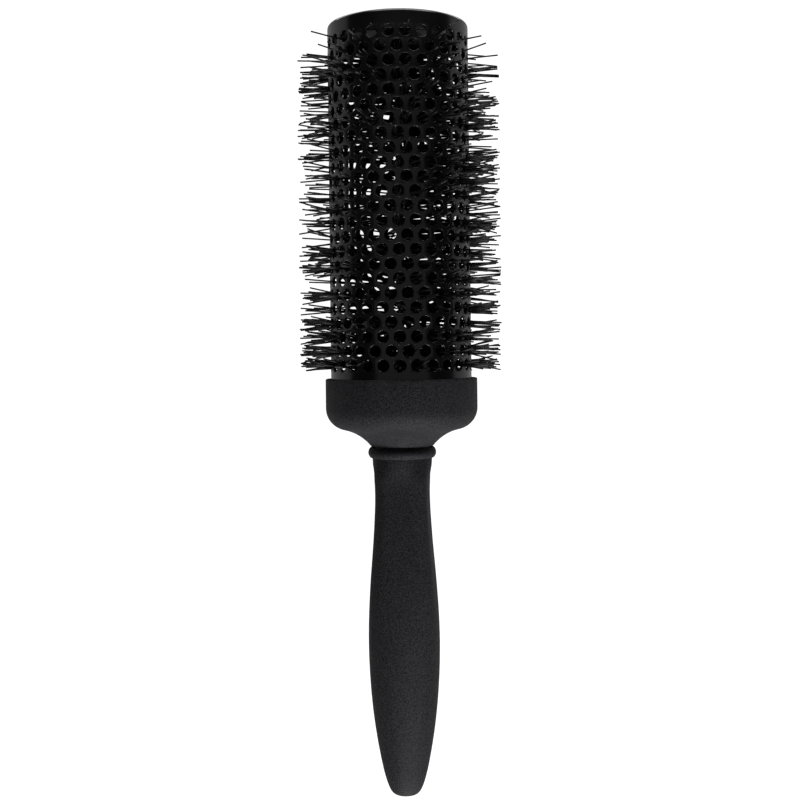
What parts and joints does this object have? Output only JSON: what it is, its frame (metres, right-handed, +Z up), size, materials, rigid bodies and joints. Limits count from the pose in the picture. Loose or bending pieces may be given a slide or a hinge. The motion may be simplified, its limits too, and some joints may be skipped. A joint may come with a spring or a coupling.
{
  "type": "round barrel brush",
  "caption": "Round hair brush: a perforated metal barrel with nylon tufts through its holes, a flared collar cup and a slim soft-touch handle.",
  "frame": {"origin": "on the surface that the brush lies on, under the middle of its length and its axis; the lowest bristle tips touch Z = 0", "axes": "+Y along the brush's axis towards the end of the barrel, with the handle towards -Y; +Z up from the surface; X across the brush"},
  "size_m": [0.065, 0.2456, 0.0649],
  "materials": {
    "barrel_metal": "satin",
    "cap_plastic": "gloss",
    "plug_plastic": "satin",
    "soft_touch": "matte",
    "core_steel": "satin",
    "core_plastic": "matte",
    "bristle_nylon": "satin"
  },
  "bodies": {
    "root": {"barrel_tube": "barrel_metal", "end_cap": "cap_plastic", "base_plug": "plug_plastic", "collar_cup": "soft_touch", "core_wire_a": "core_steel", "core_wire_b": "core_steel", "handle_core": "core_plastic", "grip_cover": "soft_touch", "bristle_row_01": "bristle_nylon", "bristle_row_02": "bristle_nylon", "bristle_row_03": "bristle_nylon", "bristle_row_04": "bristle_nylon", "bristle_row_05": "bristle_nylon", "bristle_row_06": "bristle_nylon", "bristle_row_07": "bristle_nylon", "bristle_row_08": "bristle_nylon", "bristle_row_09": "bristle_nylon", "bristle_row_10": "bristle_nylon", "bristle_row_11": "bristle_nylon", "bristle_row_12": "bristle_nylon", "bristle_row_13": "bristle_nylon", "bristle_row_14": "bristle_nylon", "bristle_row_15": "bristle_nylon", "bristle_row_16": "bristle_nylon", "bristle_row_17": "bristle_nylon", "bristle_row_18": "bristle_nylon", "bristle_row_19": "bristle_nylon", "bristle_row_20": "bristle_nylon", "bristle_row_21": "bristle_nylon", "bristle_row_22": "bristle_nylon", "bristle_row_23": "bristle_nylon", "bristle_row_24": "bristle_nylon"}
  },
  "joints": []
}
